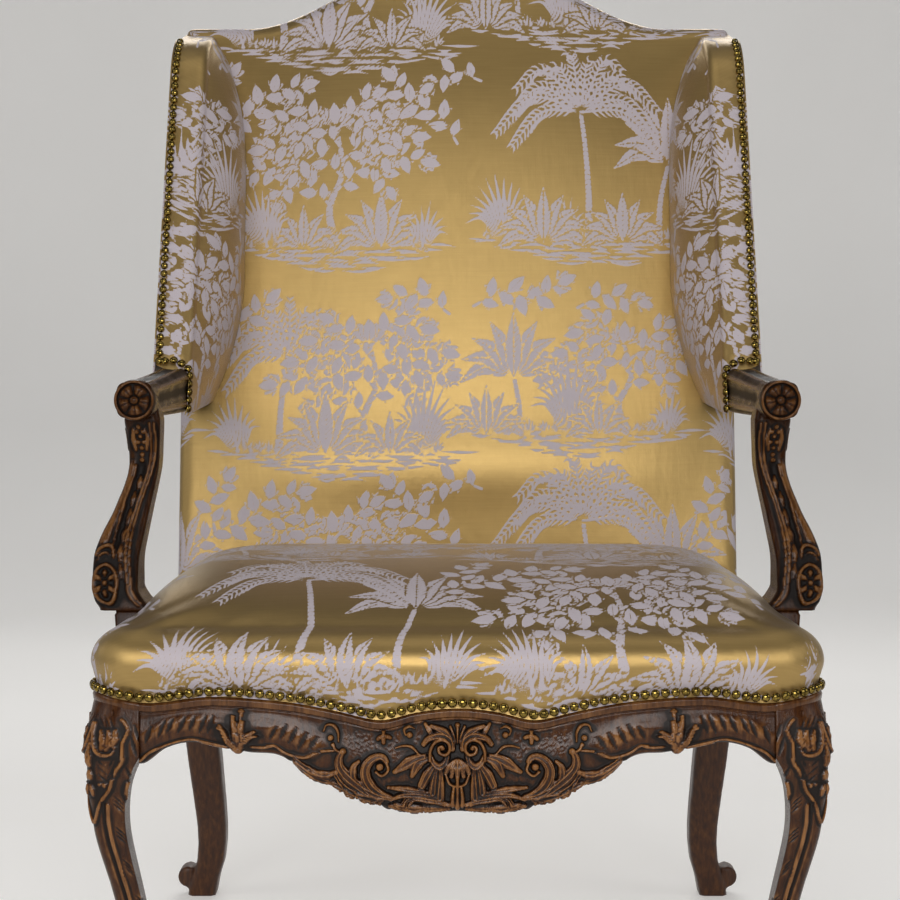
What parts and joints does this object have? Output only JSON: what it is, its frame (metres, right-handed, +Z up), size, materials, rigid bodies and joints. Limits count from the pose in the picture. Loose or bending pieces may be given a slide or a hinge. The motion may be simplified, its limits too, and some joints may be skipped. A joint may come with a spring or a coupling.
{
  "type": "wing armchair",
  "caption": "Upholstered wing armchair: carved wooden frame with cabriole legs, serpentine front rail and scrolled open arms, and a fixed padded seat, back and wings.",
  "frame": {"origin": "middle of the footprint, on the floor", "axes": "+X to the right as seen from the front, -Y towards the front of the chair, +Z up"},
  "size_m": [0.7606, 0.7616, 1.1879],
  "materials": {
    "walnut": "dark waxed walnut, worn lighter on the carved edges",
    "beech": "bare beech, hidden under the upholstery",
    "gold_brocade": "gold satin with a woven lilac pattern",
    "horsehair": "stitched horsehair stuffing",
    "jute_webbing": "woven jute straps",
    "hessian": "coarse hessian",
    "nail_brass": "antiqued brass upholstery nails"
  },
  "bodies": {
    "root": {"front_rail": "walnut", "front_leg_left": "walnut", "front_leg_right": "walnut", "side_rail_left": "walnut", "side_rail_right": "walnut", "rear_post_left": "walnut", "rear_post_right": "walnut", "arm_support_left": "walnut", "arm_support_right": "walnut", "arm_left": "walnut", "arm_right": "walnut", "back_seat_rail": "walnut", "lower_back_rail": "beech", "crest_rail": "beech", "corner_block_front_left": "beech", "corner_block_front_right": "beech", "corner_block_rear_left": "beech", "corner_block_rear_right": "beech", "wing_post_left": "beech", "wing_post_right": "beech", "wing_top_rail_left": "beech", "wing_top_rail_right": "beech", "seat_webbing": "jute_webbing", "seat_base_cloth": "hessian", "seat_stuffing": "horsehair", "seat_cover": "gold_brocade", "back_webbing": "jute_webbing", "back_base_cloth": "hessian", "back_stuffing": "horsehair", "inside_back_cover": "gold_brocade", "outside_back_cover": "gold_brocade", "wing_stuffing_left": "horsehair", "wing_stuffing_right": "horsehair", "wing_inside_cover_left": "gold_brocade", "wing_inside_cover_right": "gold_brocade", "wing_outside_cover_left": "gold_brocade", "wing_outside_cover_right": "gold_brocade"}
  },
  "joints": []
}
